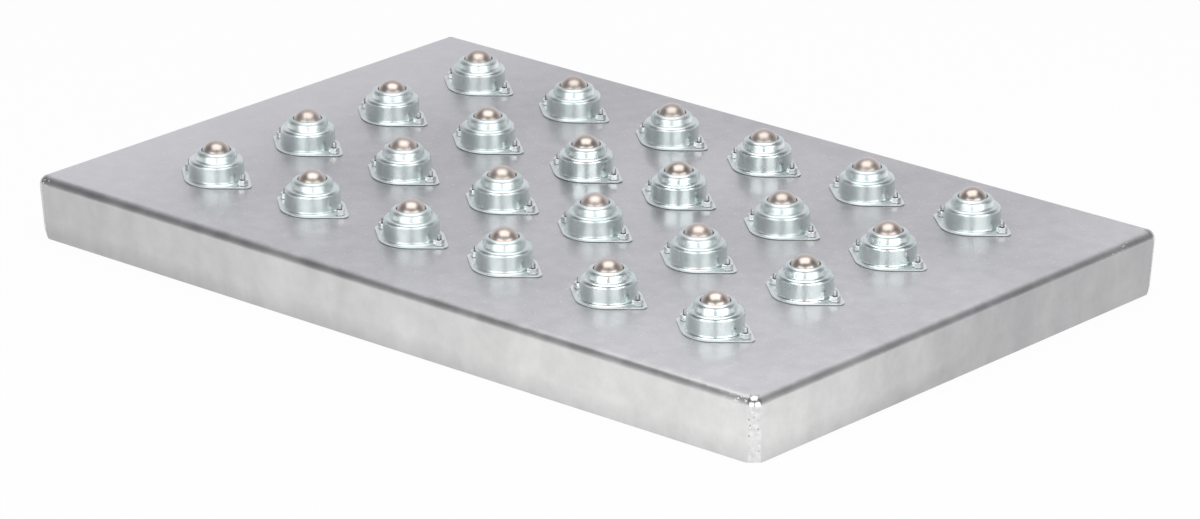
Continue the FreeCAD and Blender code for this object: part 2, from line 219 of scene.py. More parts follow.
def ring_piece(name, grid, material, wrap=False, crease=40.0):
    """A closed piece from points of shape (copies, rings, around, 3).

    Fans close the ends of each copy, unless its last ring wraps round to its first one.
    """
    copies, rings, around, _ = grid.shape
    quads = ring_faces(copies, rings, around, wrap)
    points = grid.reshape(-1, 3)
    fans = np.empty((0, 3), int)
    if not wrap:
        poles = np.concatenate([grid[:, 0].mean(axis=1), grid[:, -1].mean(axis=1)])
        points = np.concatenate([points, poles])
        fans = end_fans(copies, rings, around)
    middle = points.mean(axis=0)
    volume = enclosed_volume(points - middle, quads) + enclosed_volume(points - middle, fans)
    if volume < 0:
        quads, fans = quads[:, ::-1], fans[:, ::-1]
    mesh = bpy.data.meshes.new(name)
    mesh.from_pydata(points.tolist(), [], quads.tolist() + fans.tolist())
    mesh.polygons.foreach_set("use_smooth", np.ones(len(mesh.polygons), bool))
    mesh.set_sharp_from_angle(angle=math.radians(crease))
    mesh.materials.append(material)
    made = bpy.data.objects.new(name, mesh)
    bpy.context.scene.collection.objects.link(made)
    return made


def rounded_run(corners, radii, steps=8, ease=0.2 * MM):
    """A path through corners with a tangent arc at each inner corner.

    Each arc has its centre on the corner's bisector and a set number of steps; each straight run gets a
    point close to both its ends, so that its shading stays straight.
    """
    corners = np.asarray(corners, float)
    points = [corners[:1]]
    for before, corner, after, radius in zip(corners, corners[1:], corners[2:], radii):
        back, onward = before - corner, after - corner
        back, onward = back / np.linalg.norm(back), onward / np.linalg.norm(onward)
        half = math.acos(np.clip(back @ onward, -1, 1)) / 2
        bisector = (back + onward) / np.linalg.norm(back + onward)
        centre = corner + bisector * radius / math.sin(half)
        start, end = (corner + way * radius / math.tan(half) - centre for way in (back, onward))
        turn = math.pi - 2 * half
        along = np.linspace(0, 1, steps + 1)[:, None]
        arc = (np.sin((1 - along) * turn) * start + np.sin(along * turn) * end) / math.sin(turn) + centre
        points += [arc[:1] + back * ease, arc, arc[-1:] + onward * ease]
    return np.concatenate(points + [corners[-1:]])


print("surface builder ready")

# %% [markdown]
# ## Patterns of the tray
# The tray is zinc-coated steel sheet. The coating gives a dull metal with cloudy patches, a fine grain and tiny
# pimples, whose bright glints are painted into the colour. Deck and skirts differ: the pimples lie on the deck,
# while the skirts have upright smears and painted shade that darkens them towards the foot and the back. Each
# pattern below is a number from 0 to 1 at every point of the sheet.

# %% Tray patterns
def deck_pimples(sheet, scale, size, share):
    """Dots: one in each cell of a Voronoi pattern, kept in a share of the cells; their white is a painted
    glint.
    """
    cells = sheet.add("TexVoronoi", {"voronoi_dimensions": "2D"}, {"Vector": sheet.where, "Scale": scale})
    pick = sheet.add("SeparateColor", None, {0: cells.outputs["Color"]}).outputs[0]
    dot = sheet.remap(cells.outputs["Distance"], size / 2, size, 1.0, 0.0)
    return sheet.times(dot, sheet.remap(pick, 1 - share, 1 - share / 2))


def sheet_blotches(sheet, on_deck):
    """Patches: broad clouds on the deck or upright smears on the skirts, mixed with finer mottling."""
    clouds = sheet.remap(sheet.noise(6.0, 3.0), 0.36, 0.66)
    smears = sheet.remap(sheet.noise(1.0, 3.0, sheet.stretched(34.0, 34.0, 9.0)), 0.35, 0.68)
    mottle = sheet.remap(sheet.noise(75.0, 4.0, roughness=0.65), 0.35, 0.65)
    broad = sheet.blend(on_deck, smears, clouds)
    return sheet.plus(sheet.times(broad, 0.55), sheet.times(mottle, 0.45))


def skirt_painted_shade(sheet, place, facing):
    """Painted shade: grows to the back of the right skirt, to the left end of the front skirt, and down to the
    foot.
    """
    right = sheet.remap(facing[0], 0.6, 0.9)
    far_right = sheet.times(right, sheet.remap(place[1], -0.20, 0.02))
    front = sheet.minus(1.0, right)
    far_left = sheet.times(front, sheet.remap(place[0], 0.25, -0.35, 0.0, 0.7))
    low = sheet.remap(place[2], 0.016, 0.0, 0.0, 0.45)
    painted_shade = sheet.plus(sheet.plus(far_right, far_left), low)
    return sheet.calculate("MINIMUM", painted_shade, 1.0)


print("tray patterns ready")

# %% [markdown]
# ## The tray's finish
# Patches and grain drive both the colour and the roughness, because a dull patch on metal is a rougher one.
# Rolling left the sheet a little wavy. In the middle of the deck use has worn a glossier place, which a
# smoother metal and a stronger coat show. The upward part of the normal tells deck, bends and skirts apart.

# %% Tray finish
WORN_PLACE = (0.01, 0.055, 0.05)
WORN_REACH = 0.17
WORN_GLOSS, BEND_GLOSS = 0.08, 0.17
DECK_TONES = colour(0.55, 0.547, 0.565), colour(0.69, 0.687, 0.695)
# Paler deck tones away from the worn place and at the left end: a painted reflection of the softboxes.
PALE_REFLECTION_DECK_TONES = colour(0.65, 0.647, 0.66), colour(0.79, 0.787, 0.795)
LEFT_END_REFLECTION_TONE = colour(0.80, 0.80, 0.825)
SKIRT_TONES = colour(0.70, 0.70, 0.695), colour(0.85, 0.848, 0.84)
# Skirt tones under painted shade: the darker floor that the skirts mirror at the back, the left end and the
# foot.
SHADED_SKIRT_TONES = colour(0.44, 0.44, 0.45), colour(0.56, 0.56, 0.565)
# White of the pimples' painted glints.
PIMPLE_GLINT_TONE = colour(1.0, 1.0, 1.0)


def tray_colour(sheet, blotch, far, on_deck, painted_shade):
    """Deck that pales away from the worn place and to the left end as painted reflection; skirts with painted
    shade.
    """
    # Painted reflection of the softboxes: the deck pales away from the worn place and at the left end.
    pale = sheet.mix(blotch, *PALE_REFLECTION_DECK_TONES)
    deck = sheet.mix(sheet.remap(far, 0.2, 0.4), sheet.mix(blotch, *DECK_TONES), pale)
    left_end_reflection = sheet.remap(sheet.parts(sheet.where)[0], -0.2, -0.36, 0.0, 0.6)
    deck = sheet.mix(left_end_reflection, deck, LEFT_END_REFLECTION_TONE)
    skirt = sheet.mix(painted_shade, sheet.mix(blotch, *SKIRT_TONES), sheet.mix(blotch, *SHADED_SKIRT_TONES))
    return sheet.mix(on_deck, skirt, deck)


def tray_finish():
    """Coated sheet: patches and grain change colour and roughness; pimples and waves bend the light."""
    sheet = Finish("coated_sheet")
    facing = sheet.parts(sheet.normal())
    on_deck = sheet.remap(facing[2], 0.9, 0.99)
    blotch, grain = sheet_blotches(sheet, on_deck), sheet.noise(1100.0, 2.0)
    # Painted shade of the skirts, mixed into the base colour.
    painted_shade = skirt_painted_shade(sheet, sheet.parts(sheet.where), facing)
    far = sheet.add("VectorMath", {"operation": "DISTANCE"}, {0: sheet.where, 1: WORN_PLACE}).outputs["Value"]
    fine, coarse = deck_pimples(sheet, 150.0, 0.07, 0.5), deck_pimples(sheet, 70.0, 0.04, 0.5)
    pimples_and_glints = sheet.times(sheet.calculate("MAXIMUM", fine, coarse), on_deck)
    tone = tray_colour(sheet, blotch, far, on_deck, painted_shade)
    # The pimples' glints are painted white into the base colour; the same dots also give the bump.
    sheet.set(Base_Color=sheet.mix(pimples_and_glints, tone, PIMPLE_GLINT_TONE))
    worn = sheet.remap(far, 0.3 * WORN_REACH, WORN_REACH, 1.0, 0.0)
    off_deck = sheet.minus(1.0, on_deck)
    bend = sheet.times(sheet.remap(facing[2], 0.02, 0.12), off_deck)
    rough = sheet.remap(blotch, 0.0, 1.0, 0.46, 0.56)
    rough = sheet.minus(rough, sheet.times(worn, WORN_GLOSS))
    rough = sheet.minus(rough, sheet.times(bend, BEND_GLOSS))
    sheet.set(Roughness=sheet.plus(rough, sheet.times(grain, 0.06)))
    waves = sheet.bump(sheet.noise(7.0, 1.0), 1.0 * MM)
    sheet.set(Normal=sheet.bump(pimples_and_glints, 0.12 * MM, sheet.bump(grain, 0.025 * MM, waves)))
    sheet.set(Coat_Weight=sheet.remap(worn, 0.0, 1.0, 0.28, 0.95), Coat_Roughness=0.12, Coat_IOR=1.8)
    return sheet.material


SHEET = tray_finish()
print("made", SHEET.name)

# %% [markdown]
# ## The tray
# The tray is one sheet, bent down on all four sides a little past square. Seen as a surface, it is a rounded
# rectangle that shrinks and sinks as the profile goes from the deck round the bend, down the skirt, under the
# foot and up again inside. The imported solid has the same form, but its bends have few facets, so a smooth
# copy stands in for it. Each ring keeps the corner radius that a parallel bend would have.

# %% Tray shape
TRAY_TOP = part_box("tray")[1].z
SHEET_THICK = 2.0 * MM
BEND_RADIUS = 7.5 * MM
CORNER_RADIUS = 8.0 * MM
SKIRT_LEAN = math.radians(3.0)
CLIP_HEIGHT = 6.5 * MM
CLIP_DEPTH = 2.5 * MM
RUN_LEAD = 1.0 * MM
TIGHTEST_CORNER = 0.3 * MM
BEND_INSET = BEND_RADIUS * (1 + math.sin(SKIRT_LEAN)) / math.cos(SKIRT_LEAN)
TRAY_HALF = np.array(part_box("tray")[1][:2]) + BEND_INSET - BEND_RADIUS


def rounded_rectangle(half, radius, arc_steps=10, stops=(0.8 * MM, 1.6 * MM, 12 * MM)):
    """Closed outline: a quarter arc at each corner, and a few points on the straight sides beside it."""
    turn = np.linspace(0, math.pi / 2, arc_steps + 1)
    arc = radius * np.stack([np.cos(turn), np.sin(turn)], axis=1)
    stops = np.asarray(stops)
    lead = np.stack([np.full(len(stops), radius), -stops[::-1]], axis=1)
    tail = np.stack([-stops, np.full(len(stops), radius)], axis=1)
    corner = np.concatenate([lead, arc, tail])
    sides = []
    for cosine, sine in ((1, 0), (0, 1), (-1, 0), (0, -1)):
        turned = corner @ np.array([[cosine, sine], [-sine, cosine]])
        sides.append(turned + np.array([cosine - sine, cosine + sine]) * (half - radius))
    return np.concatenate(sides)


def bend_profile(radius, angles):
    """Inset and height along the bend: an arc about the bend's middle, from the deck to the leaning skirt."""
    return BEND_INSET - radius * np.sin(angles), TRAY_TOP - BEND_RADIUS + radius * np.cos(angles)


def behind_foot_corner(level):
    """How far points lie behind the foot's round corner, measured along the corner's diagonal."""
    foot_half = TRAY_HALF - (TRAY_TOP - CLIP_HEIGHT) * math.tan(SKIRT_LEAN)
    return (foot_half - np.abs(level)).sum(axis=-1) / math.sqrt(2) - (math.sqrt(2) - 1) * CORNER_RADIUS


def clipped_foot(outline):
    """Height of the foot at each point of an outline: each corner is ground back by a sloping cut."""
    return CLIP_HEIGHT * np.clip(1 - behind_foot_corner(outline) / CLIP_DEPTH, 0, 1)


def sheet_profile(radius):
    """Inset, height and corner inset along one side of the sheet: deck edge, bend arc, skirt and foot."""
    angles = np.concatenate([[0.0], np.linspace(0, math.pi / 2 + SKIRT_LEAN, 13)])
    insets, heights = bend_profile(radius, angles)
    insets[0] += RUN_LEAD
    skirt_heights = np.array([heights[-1] - RUN_LEAD, RUN_LEAD, 0.0])
    skirt_insets = insets[-1] + (heights[-1] - skirt_heights) * math.tan(SKIRT_LEAN)
    corner_insets = np.concatenate([insets, np.full(3, insets[-1])])
    runs = np.concatenate([insets, skirt_insets]), np.concatenate([heights, skirt_heights])
    return np.stack([*runs, corner_insets], axis=1)


def tray_ring(inset, height, corner_inset):
    """One ring: a rounded rectangle at an inset, whose corners rise with the cut when it is at the foot."""
    outline = rounded_rectangle(TRAY_HALF - inset, max(CORNER_RADIUS - corner_inset, TIGHTEST_CORNER))
    rise = clipped_foot(outline) if height <= RUN_LEAD else np.zeros(len(outline))
    return np.column_stack([outline, height + rise])


def tray_grid():
    """Rings of the tray: deck edge, bend, skirt and foot outside, then the same back up inside."""
    outside, inside = sheet_profile(BEND_RADIUS), sheet_profile(BEND_RADIUS - SHEET_THICK)
    return np.stack([tray_ring(*run) for run in np.concatenate([outside, inside[::-1]])])[None]


tray = ring_piece("tray_sheet", tray_grid(), SHEET, crease=35.0)
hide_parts("tray")
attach(tray, "platform")
print("tray", len(tray.data.polygons), "faces, size", [round(v / MM, 2) for v in tray.dimensions])

# %% [markdown]
# ## The housings' finish
# The housings are drawn from sheet and plated with bright zinc, which is cooler and a little greener than the
# tray. Drawing leaves fine streaks up the walls. A noise that is stretched along Z runs up every wall at once,
# so no unit needs a pattern of its own. No die ironed the flange and the crown: the flange is duller and paler,
# the crown only softer. A thin dark line of painted contact shade runs where a piece stands on the one below.
# Some cups are brighter than the others.

# %% Housing finish
HOUSING_THICK = 1.0 * MM
FLANGE_TONE = colour(0.86, 0.905, 0.905)
# Painted contact shade where a piece stands on the one below.
CONTACT_SHADE_TONE = colour(0.16, 0.17, 0.175)
CROWN_START, CROWN_END = TRAY_TOP + 19.5 * MM, TRAY_TOP + 21.5 * MM
CROWN_DULL, FLANGE_DULL = 0.09, 0.25


def flange_masks(plate, height):
    """Masks of upright faces, and of the flange: its cut edge and its level upper side."""
    rise = plate.parts(plate.normal())[2]
    upright = plate.calculate("LESS_THAN", plate.calculate("ABSOLUTE", rise, 0.0), 0.8)
    under_top = plate.calculate("LESS_THAN", height, TRAY_TOP + HOUSING_THICK - 0.01 * MM)
    near_top = plate.calculate("LESS_THAN", height, TRAY_TOP + HOUSING_THICK + 0.1 * MM)
    level = plate.times(near_top, plate.calculate("GREATER_THAN", rise, 0.9))
    return upright, plate.plus(plate.times(under_top, upright), level)


def contact_shade_mask(plate, height, seat):
    """Painted contact shade: a dark line where a piece stands on the one below, fading out within a millimetre
    above the seat.
    """
    above = plate.calculate("GREATER_THAN", height, seat - 0.1 * MM)
    fade = plate.remap(height, seat + 0.25 * MM, seat + 0.65 * MM, 1.0, 0.0)
    return plate.times(above, fade)


def plated_finish(name, tones, smoothest, roughest, seat):
    """Bright plating: drawing streaks and soft stains move the colour, roughness and relief a little."""
    plate = Finish(name)
    streaks = plate.noise(1.0, 3.0, plate.stretched(900.0, 900.0, 60.0))
    stains = plate.remap(plate.noise(85.0, 3.0), 0.35, 0.65)
    height = plate.parts(plate.where)[2]
    upright, flange = flange_masks(plate, height)
    # Painted contact shade on upright faces just above the seat.
    contact_shade = plate.times(upright, contact_shade_mask(plate, height, seat))
    tone = plate.mix(flange, plate.mix(stains, *tones), FLANGE_TONE)
    plate.set(Base_Color=plate.mix(contact_shade, tone, CONTACT_SHADE_TONE))
    crown = plate.remap(height, CROWN_START, CROWN_END, 0.0, CROWN_DULL)
    rough = plate.plus(plate.remap(stains, 0.0, 1.0, roughest, smoothest), crown)
    rough = plate.plus(rough, plate.times(streaks, 0.06))
    plate.set(Roughness=plate.plus(rough, plate.times(flange, FLANGE_DULL)))
    dents = plate.bump(plate.noise(90.0, 1.0), 0.012 * MM)
    plate.set(Normal=plate.bump(streaks, 0.005 * MM, dents))
    return plate.material


PLATE_TONES = colour(0.715, 0.79, 0.785), colour(0.84, 0.905, 0.90)
SATIN_PLATING = plated_finish("satin_plating", PLATE_TONES, 0.25, 0.32, TRAY_TOP)
BRIGHT_PLATING = plated_finish("bright_plating", PLATE_TONES, 0.19, 0.25, TRAY_TOP)
BRIGHT_CUPS = "c3 d3 d4 e1 f1 f2 f3".split()
print("made", SATIN_PLATING.name, BRIGHT_PLATING.name)

# %% [markdown]
# ## The housings
# A housing is a cup drawn from one sheet: flange, wall, shoulder, collar and a lip that keeps the ball in. Its
# section is a path with a bend radius at each corner, and the inside of the sheet runs beside it at the sheet's
# thickness. The radii are smaller on the hollow side of each bend, so the sheet keeps its thickness there.

# %% Housing section
DRAFT = math.radians(1.5)
BALL_RADIUS = 11.1 * MM
BALL_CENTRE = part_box("load_ball_a1")[1].z - BALL_RADIUS - TRAY_TOP
SHOULDER = BALL_CENTRE - 2.1 * MM
COLLAR_RADIUS = BALL_RADIUS + 5.0 * MM
WALL_TOP_RADIUS = COLLAR_RADIUS + 4.6 * MM
WALL_FOOT_RADIUS = WALL_TOP_RADIUS + (SHOULDER - HOUSING_THICK) * math.tan(DRAFT)
FLANGE_RADIUS = WALL_FOOT_RADIUS + 3.4 * MM
COLLAR_LEAN = math.radians(12.0)
CROWN_SLOPE = math.radians(20.0)
LIP_RADIUS = BALL_RADIUS - 0.1 * MM
LIP_FOOT = BALL_CENTRE + math.sqrt(BALL_RADIUS**2 - (LIP_RADIUS - 0.3 * MM) ** 2)
LIP_TOP = LIP_FOOT + 2.1 * MM
BENDS = np.array([2.4, 2.2, 0.8, 3.0, 0.1]) * MM


def beside(path, distance):
    """The path on the left of a path, at a distance: each corner moves along the bisector of its two runs."""
    ways = np.diff(path, axis=0)
    ways /= np.linalg.norm(ways, axis=1)[:, None]
    lefts = np.stack([-ways[:, 1], ways[:, 0]], axis=1)
    before, after = np.vstack([lefts[:1], lefts]), np.vstack([lefts, lefts[-1:]])
    share = distance / (1 + (before * after).sum(axis=1))
    return path + (before + after) * share[:, None]


def housing_section():
    """Radius and height along the outer skin from brim to lip, then back along the inside.

    The collar's run and the crown's run are two straight lines; the point on both is their corner.
    """
    lean = np.array([-math.sin(COLLAR_LEAN), math.cos(COLLAR_LEAN)])
    rise = np.array([-math.cos(CROWN_SLOPE), math.sin(CROWN_SLOPE)])
    collar_foot, lip_top = np.array([COLLAR_RADIUS, SHOULDER]), np.array([LIP_RADIUS, LIP_TOP])
    along = np.linalg.solve(np.stack([lean, -rise], axis=1), lip_top - collar_foot)[0]
    skin = np.array([[FLANGE_RADIUS, HOUSING_THICK], [WALL_FOOT_RADIUS, HOUSING_THICK],
                     [WALL_TOP_RADIUS, SHOULDER], collar_foot, collar_foot + along * lean,
                     lip_top, [LIP_RADIUS, LIP_FOOT]])
    inner = np.array([0, 1, 0, 1, 1]) * HOUSING_THICK
    back = rounded_run(beside(skin, HOUSING_THICK), BENDS + HOUSING_THICK - inner)
    return rounded_run(skin, BENDS + inner), back


SKIN, BACK_SKIN = housing_section()
print("section points", len(SKIN), len(BACK_SKIN), "highest", (SKIN[:, 1].max() / MM).round(2))

# %% [markdown]
# ## Turning the section
# Turning the section gives the cup. Only the flange isn't round: there, the radius grows with the angle until
# it meets the outline of the two ears. The ears reach out far enough for a nut to stand clear of the wall's
# bend. Each unit is the same grid of points, moved to its load ball.

# %% Housing shape
NUT_FLATS = 7.0 * MM
NUT_CORNER = NUT_FLATS / math.sqrt(3)
NUT_SPARE = 0.1 * MM
EAR_MARGIN = 7.3 * MM
SCREW_REACH = WALL_FOOT_RADIUS + BENDS[0] + NUT_SPARE + NUT_CORNER
EAR_END = SCREW_REACH + EAR_MARGIN
EAR_TIP_RADIUS = 5.0 * MM
EDGE_EASE = 0.15 * MM
UNDER_EASE = 0.35 * MM


def eared_radius(angle):
    """Distance to the flange's edge: a round brim, straight tangents, and a round tip on each ear along X."""
    folded = np.abs((angle + math.pi / 2) % math.pi - math.pi / 2)
    reach = EAR_END - EAR_TIP_RADIUS
    tangent = math.acos((FLANGE_RADIUS - EAR_TIP_RADIUS) / reach)
    tip_angle = math.atan2(EAR_TIP_RADIUS * math.sin(tangent), reach + EAR_TIP_RADIUS * math.cos(tangent))
    sine = np.clip(reach * np.sin(folded) / EAR_TIP_RADIUS, -1, 1)
    on_tip = reach * np.cos(folded) + EAR_TIP_RADIUS * np.sqrt(1 - sine**2)
    on_side = FLANGE_RADIUS / np.cos(folded - tangent)
    return np.where(folded < tip_angle, on_tip, np.where(folded < tangent, on_side, FLANGE_RADIUS))


def unit_angles(around=112):
    """Angles round the axis, close together at the ears so that their tips stay round."""
    even = np.linspace(0, 2 * math.pi, around, endpoint=False)
    return even - 0.34 * np.sin(2 * even)


def housing_grid():
    """Rings of the section; the brim's rings grow to the eared edge, whose corners are eased."""
    angle = unit_angles()
    edge = eared_radius(angle)
    loop = np.concatenate([SKIN, BACK_SKIN[::-1]])
    radius = np.repeat(loop[:, :1], len(angle), axis=1)
    height = np.repeat(loop[:, 1:], len(angle), axis=1)
    radius[0], radius[-1] = edge - EDGE_EASE, edge - UNDER_EASE
    radius = np.concatenate([edge[None], edge[None], radius])
    ones = np.ones((1, len(angle)))
    height = np.concatenate([ones * UNDER_EASE, ones * (HOUSING_THICK - EDGE_EASE), height])
    return np.stack([radius * np.cos(angle), radius * np.sin(angle), height + TRAY_TOP], axis=-1)


def unit_place(unit):
    """The middle of a unit on the floor plane, from its load ball."""
    low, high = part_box(f"load_ball_{unit}")
    return np.array([(low.x + high.x) / 2, (low.y + high.y) / 2, 0.0])


PLACES = {unit: unit_place(unit) for unit in UNITS}
HOUSING = housing_grid()
for unit in UNITS:
    plating = BRIGHT_PLATING if unit in BRIGHT_CUPS else SATIN_PLATING
    shell = ring_piece(f"cup_{unit}", (HOUSING + PLACES[unit])[None], plating, wrap=True, crease=35.0)
    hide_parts(f"housing_{unit}")
    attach(shell, "platform")
print("housing", len(shell.data.polygons), "faces, size", [round(v / MM, 2) for v in shell.dimensions])

# %% [markdown]
# ## The load balls
# The balls are hard steel with a faint brown tint. Each has been rolled a different amount, so some are bright
# and some satin. A ball is the simplest surface of two parameters, latitude and longitude. The grain reads
# Object coordinates, and every ball stands in another place of that pattern, so no two look alike.

# %% Load balls
BALL_TINTS = colour(0.58, 0.495, 0.435), colour(0.70, 0.605, 0.54)


def ball_finish(name, dull):
    """Polished steel: faint tint stains, a satin roughness with fine scuffs, and a soft coat of oil."""
    steel = Finish(name)
    stains = steel.remap(steel.noise(60.0, 3.0), 0.35, 0.65)
    scuffs = steel.noise(700.0, 2.0)
    steel.set(Base_Color=steel.mix(stains, *BALL_TINTS))
    steel.set(Roughness=steel.plus(steel.times(scuffs, 0.08), dull))
    steel.set(Normal=steel.bump(scuffs, 0.003 * MM))
    steel.set(Coat_Weight=1.0, Coat_Roughness=0.3, Coat_IOR=1.8)
    return steel.material


POLISHES = [ball_finish(f"ball_polish_{step}", dull) for step, dull in enumerate((0.25, 0.30, 0.35))]
WELL_USED = "c3 d3 f1 f2 f4".split()


def ball_grid(radius, rings=30, around=60):
    """Points at a radius from the middle, by latitude from near pole to pole and by longitude."""
    latitude = np.linspace(-math.pi / 2, math.pi / 2, rings + 2)[1:-1, None]
    longitude = np.linspace(0, 2 * math.pi, around, endpoint=False)[None, :]
    level = np.cos(latitude)
    up = np.broadcast_to(np.sin(latitude), (rings, around))
    return radius * np.stack([level * np.cos(longitude), level * np.sin(longitude), up], axis=-1)


BALL = ball_grid(BALL_RADIUS)
BALL_HEIGHT = np.array([0, 0, TRAY_TOP + BALL_CENTRE])
for index, unit in enumerate(UNITS):
    polish = POLISHES[0] if unit in WELL_USED else POLISHES[1 + index % 2]
    ball = ring_piece(f"ball_{unit}", (BALL + BALL_HEIGHT + PLACES[unit])[None], polish)
    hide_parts(f"load_ball_{unit}")
    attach(ball, f"load_ball_{unit}")
print("balls", len(UNITS), "of", len(ball.data.polygons), "faces")

# %% [markdown]
# ## The bed of support balls
# Under each load ball lies a bed of small balls that can't be seen from outside. They are there because the
# real unit has them. A ball that repeats more than a thousand times gets only a few dozen faces.

# %% Support balls
def inner_finish():
    """Plain bearing steel with a light oil stain."""
    steel = Finish("bearing_steel")
    stain = steel.noise(150.0, 2.0)
    steel.set(Base_Color=steel.mix(stain, colour(0.42, 0.41, 0.40), colour(0.60, 0.59, 0.57)))
    steel.set(Roughness=steel.remap(stain, 0.3, 0.7, 0.18, 0.32))
    return steel.material


BEARING = inner_finish()
SUPPORT_RADIUS = 1.5 * MM
SUPPORT_ORBIT = BALL_RADIUS + 0.2 * MM + SUPPORT_RADIUS
SUPPORT_STEP = 3.4 * MM
SUPPORT_RINGS = 4


def bed_places():
    """Middles of the bed's balls: one at the bottom, then rings at equal angles round the load ball."""
    ring_angle = 2 * math.asin(SUPPORT_STEP / (2 * SUPPORT_ORBIT))
    places = [np.array([[0.0, 0.0, -SUPPORT_ORBIT]])]
    for ring in range(1, SUPPORT_RINGS + 1):
        level = SUPPORT_ORBIT * math.sin(ring * ring_angle)
        height = -SUPPORT_ORBIT * math.cos(ring * ring_angle)
        count = int(math.pi / math.asin(SUPPORT_STEP / (2 * level)))
        turn = np.arange(count) * 2 * math.pi / count
        places.append(np.stack([level * np.cos(turn), level * np.sin(turn), 0 * turn + height], axis=1))
    return np.concatenate(places)


BED = bed_places() + BALL_HEIGHT
SMALL_BALL = ball_grid(SUPPORT_RADIUS, rings=4, around=8)
for letter in sorted({unit[0] for unit in UNITS}):
    places = np.concatenate([BED + PLACES[unit] for unit in UNITS if unit[0] == letter])
    bed = ring_piece(f"ball_bed_{letter}", SMALL_BALL[None] + places[:, None, None, :], BEARING)
    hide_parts(f"support_balls_{letter}")
    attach(bed, "platform")
NODES["bearing_bowls"].data.materials.clear()
NODES["bearing_bowls"].data.materials.append(BEARING)
print("support balls in a unit", len(BED))

# %% [markdown]
# ## Screws and nuts
# Each ear is held by a screw that comes up through the deck, with a nut on top. The free end shows its thread,
# which is a helix: the radius rises and falls along the axis, and the whole pattern climbs by one pitch in a
# turn. The pan head below the deck has a cross-shaped recess, made by lowering the points in the cross.

# %% Screws
SCREW_RADIUS = 2.0 * MM
THREAD_PITCH = 0.7 * MM
THREAD_DEPTH = 0.36 * MM
NUT_SEAT = TRAY_TOP + HOUSING_THICK
NUT_TOP = NUT_SEAT + 4.4 * MM
SCREW_TIP = NUT_TOP + 3.8 * MM
SCREW_TONES = colour(0.50, 0.52, 0.525), colour(0.65, 0.67, 0.67)
SCREW_METAL = plated_finish("screw_plating", SCREW_TONES, 0.24, 0.32, NUT_TOP)
TIP_CHAMFER = 0.6 * MM
HEAD_SEAT = TRAY_TOP - SHEET_THICK
HEAD_RADIUS = 4.0 * MM
HEAD_HEIGHT = 2.8 * MM
HEAD_EDGE = 1.6 * MM
CROSS_REACH, CROSS_HALF, CROSS_DEPTH = 2.2 * MM, 0.55 * MM, 1.4 * MM


def head_rings(turn):
    """Radius and height of the head: from the middle of its face round the eased edge to its seat."""
    face = np.array([0.3, 0.5, 0.62, 0.9, 1.3, 1.7, 2.05, 2.2, 2.4]) * MM
    ease = np.linspace(0, math.pi / 2, 5)
    edge = HEAD_RADIUS - HEAD_EDGE * (1 - np.sin(ease))
    radius = np.concatenate([face, edge, [HEAD_RADIUS, SCREW_RADIUS]])
    low = HEAD_SEAT - HEAD_HEIGHT
    edge_height = low + HEAD_EDGE * (1 - np.cos(ease))
    height = np.concatenate([0 * face + low, edge_height, [HEAD_SEAT, HEAD_SEAT]])
    radius, height = (np.repeat(run[:, None], len(turn), axis=1) for run in (radius, height))
    across = np.minimum(np.abs(radius * np.sin(turn)), np.abs(radius * np.cos(turn)))
    in_cross = (across <= CROSS_HALF) & (radius <= CROSS_REACH) & (height < low + HEAD_EDGE / 4)
    return radius, np.where(in_cross, low + CROSS_DEPTH, height)


def thread_rings(turn, start, end, per_pitch=5):
    """Radius and height of the thread: a ridge that climbs one pitch in a turn and fades at the tip."""
    height = np.arange(start, end, THREAD_PITCH / per_pitch)[:, None] + 0 * turn
    phase = (height / THREAD_PITCH - turn / (2 * math.pi)) % 1
    ridge = 1 - np.abs(2 * phase - 1)
    ceiling = SCREW_RADIUS - np.clip(height - (end - TIP_CHAMFER), 0, None)
    radius = SCREW_RADIUS - THREAD_DEPTH * (1 - np.clip(1.25 * ridge, 0, 1))
    return np.minimum(radius, ceiling), height


def screw_grid(around=24):
    """Rings of a screw from the middle of its head up to the flat of its tip."""
    turn = np.linspace(0, 2 * math.pi, around, endpoint=False)
    head = head_rings(turn)
    plain = np.array([HEAD_SEAT + 0.2 * MM, NUT_TOP - 0.5 * MM])[:, None] + 0 * turn
    thread = thread_rings(turn, NUT_TOP - 0.4 * MM, SCREW_TIP)
    flat_tip = np.full((1, around), SCREW_TIP)
    shank_radius, tip_radius = 0 * plain + SCREW_RADIUS, 0 * flat_tip + SCREW_RADIUS - TIP_CHAMFER
    radius = np.concatenate([head[0], shank_radius, thread[0], tip_radius])
    height = np.concatenate([head[1], plain, thread[1], flat_tip])
    return np.stack([radius * np.cos(turn), radius * np.sin(turn), height], axis=-1)


EARS = np.array([[-SCREW_REACH, 0, 0], [SCREW_REACH, 0, 0]])
SCREW_PLACES = (np.stack([PLACES[unit] for unit in UNITS])[:, None] + EARS[None]).reshape(-1, 3)
screw_rings = screw_grid()[None] + SCREW_PLACES[:, None, None, :]
screws = ring_piece("threaded_screws", screw_rings, SCREW_METAL, crease=30.0)
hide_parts("screws")
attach(screws, "platform")
print("screws", len(SCREW_PLACES), "with", len(screws.data.polygons), "faces")

# %% [markdown]
# ## Nuts
# A nut is tightened until it holds, so each stops at a slightly different angle and glints in its own way. Its
# side is a hexagon: the distance to a flat, divided by the cosine of the angle from the flat's middle. The
# corners are turned off to a cone at both faces, so near a face the smaller of the two distances counts.

# %% Nuts
NUT_TONES = colour(0.88, 0.905, 0.91), colour(0.97, 0.985, 0.985)
NUT_METAL = plated_finish("nut_plating", NUT_TONES, 0.19, 0.25, NUT_SEAT)
NUT_HALF_FLATS = NUT_FLATS / 2
NUT_BORE = SCREW_RADIUS + 0.05 * MM
NUT_EDGE = (NUT_CORNER - NUT_HALF_FLATS) * math.tan(math.radians(30))
NUT_TURN, NUT_TURN_SPREAD = math.radians(8.0), math.radians(6.0)
NUT_TURN_SEED = 3


